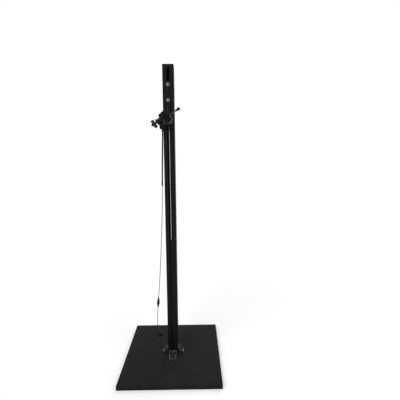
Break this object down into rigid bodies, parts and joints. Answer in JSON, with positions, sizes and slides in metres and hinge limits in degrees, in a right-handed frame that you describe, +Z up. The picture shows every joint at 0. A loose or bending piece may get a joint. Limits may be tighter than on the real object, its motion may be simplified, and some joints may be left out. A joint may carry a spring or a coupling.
{
  "type": "bicycle repair column lift",
  "caption": "Free-standing column lift for bicycles: weighted base plate, slotted column with a gas-sprung roller carriage, and a turning clamp head with a screw jaw.",
  "frame": {"origin": "on the floor under the middle of the base plate and the column", "axes": "+Z up along the column, the clamp head reaches out towards -Y, +X to the right seen from the clamp's side"},
  "size_m": [0.7, 0.7, 2.12],
  "materials": {
    "base_paint": "fine textured matt black powder coat",
    "ballast_steel": "plain rolled steel plate",
    "foot_rubber": "matt black rubber",
    "pad_rubber": "soft matt black rubber, lightly marked",
    "column_black": "black anodised aluminium extrusion, satin",
    "frame_paint": "semi-gloss black powder coat",
    "bracket_alloy": "die-cast aluminium, dull grey",
    "block_alloy": "machined aluminium",
    "bolt_zinc": "zinc plated steel, dulled",
    "dark_steel": "blackened and oiled steel",
    "cylinder_paint": "gloss black paint",
    "rod_chrome": "hard chromed and polished",
    "bush_bronze": "sintered bronze",
    "roller_nylon": "natural nylon",
    "black_plastic": "moulded black plastic, fine grain",
    "cord_cover": "black plastic hose",
    "cord_braid": "braided black polyester cord"
  },
  "bodies": {
    "stand": {"base_pan": "base_paint", "ballast_plate": "ballast_steel", "rubber_foot_front_left": "foot_rubber", "rubber_foot_front_right": "foot_rubber", "rubber_foot_back_left": "foot_rubber", "rubber_foot_back_right": "foot_rubber", "cord_anchor": "foot_rubber", "column_extrusion": "column_black", "latch_housing": "frame_paint", "foot_bracket_front": "bracket_alloy", "foot_bracket_back": "bracket_alloy", "foot_bracket_left": "bracket_alloy", "foot_bracket_right": "bracket_alloy", "column_bolt_front": "bolt_zinc", "column_bolt_back": "bolt_zinc", "column_bolt_left": "bolt_zinc", "column_bolt_right": "bolt_zinc", "floor_bolt_front": "bolt_zinc", "floor_bolt_back": "bolt_zinc", "floor_bolt_left": "bolt_zinc", "floor_bolt_right": "bolt_zinc", "latch_spring": "dark_steel", "spring_foot_fork": "dark_steel", "gas_spring_cylinder": "cylinder_paint", "column_cap": "black_plastic", "gas_spring_gland": "black_plastic", "cord_gland": "black_plastic", "sleeve_ferrule": "black_plastic", "pull_handle": "black_plastic", "cord_sleeve": "cord_cover", "pull_cord": "cord_braid", "pull_cord_tail": "cord_braid"},
    "carriage": {"carriage_plate": "frame_paint", "carriage_block": "block_alloy", "carriage_bolt_upper": "bolt_zinc", "carriage_bolt_lower": "bolt_zinc", "roller_axle_upper": "dark_steel", "roller_axle_lower": "dark_steel", "catch_lug": "dark_steel", "arm": "frame_paint", "swivel_bush_front": "bush_bronze", "swivel_bush_back": "bush_bronze", "piston_rod": "rod_chrome", "rod_eye": "bolt_zinc", "rod_eye_pin": "dark_steel"},
    "upper_left_roller": {"roller_upper_left": "roller_nylon"},
    "upper_right_roller": {"roller_upper_right": "roller_nylon"},
    "lower_left_roller": {"roller_lower_left": "roller_nylon"},
    "lower_right_roller": {"roller_lower_right": "roller_nylon"},
    "lock": {"lock_collar": "dark_steel", "lever_ball": "black_plastic"},
    "head": {"clamp_head": "frame_paint", "swivel_shaft": "dark_steel", "fixed_jaw_pad": "pad_rubber"},
    "jaw": {"moving_jaw": "frame_paint", "moving_jaw_pad": "pad_rubber"},
    "screw": {"clamp_screw": "bolt_zinc", "clamp_knob": "black_plastic"},
    "latch": {"latch_bolt": "dark_steel"}
  },
  "joints": [
    {"name": "carriage_slide", "type": "slide", "parent": "stand", "child": "carriage", "axis": [0, 0, 1], "range_m": [-0.735, 0.04]},
    {"name": "upper_left_roller_turn", "type": "hinge", "parent": "carriage", "child": "upper_left_roller", "pos_m": [-0.0173, -0.0167, 1.965], "axis": [1, 0, 0], "continuous": true},
    {"name": "upper_right_roller_turn", "type": "hinge", "parent": "carriage", "child": "upper_right_roller", "pos_m": [0.0173, -0.0167, 1.965], "axis": [1, 0, 0], "continuous": true},
    {"name": "lower_left_roller_turn", "type": "hinge", "parent": "carriage", "child": "lower_left_roller", "pos_m": [-0.0173, 0.0177, 1.775], "axis": [1, 0, 0], "continuous": true},
    {"name": "lower_right_roller_turn", "type": "hinge", "parent": "carriage", "child": "lower_right_roller", "pos_m": [0.0173, 0.0177, 1.775], "axis": [1, 0, 0], "continuous": true},
    {"name": "lock_turn", "type": "hinge", "parent": "carriage", "child": "lock", "pos_m": [0, -0.2119, 1.75], "axis": [0, -1, 0], "range_deg": [0, 60]},
    {"name": "head_turn", "type": "hinge", "parent": "carriage", "child": "head", "pos_m": [0, -0.2217, 1.75], "axis": [0, -1, 0], "continuous": true},
    {"name": "jaw_slide", "type": "slide", "parent": "head", "child": "jaw", "axis": [0.8192, 0, 0.5736], "range_m": [-0.018, 0.006]},
    {"name": "screw_turn", "type": "hinge", "parent": "jaw", "child": "screw", "pos_m": [0, -0.2687, 1.75], "axis": [0.8192, 0, 0.5736], "continuous": true},
    {"name": "latch_slide", "type": "slide", "parent": "stand", "child": "latch", "axis": [1, 0, 0], "range_m": [0, 0.01]}
  ],
  "couplings": [
    {"joint": "upper_left_roller_turn", "follows": "carriage_slide", "rad_per_m": 68.966},
    {"joint": "upper_right_roller_turn", "follows": "carriage_slide", "rad_per_m": 68.966},
    {"joint": "lower_left_roller_turn", "follows": "carriage_slide", "rad_per_m": -68.966},
    {"joint": "lower_right_roller_turn", "follows": "carriage_slide", "rad_per_m": -68.966},
    {"joint": "screw_turn", "follows": "jaw_slide", "rad_per_m": 1570.8}
  ]
}
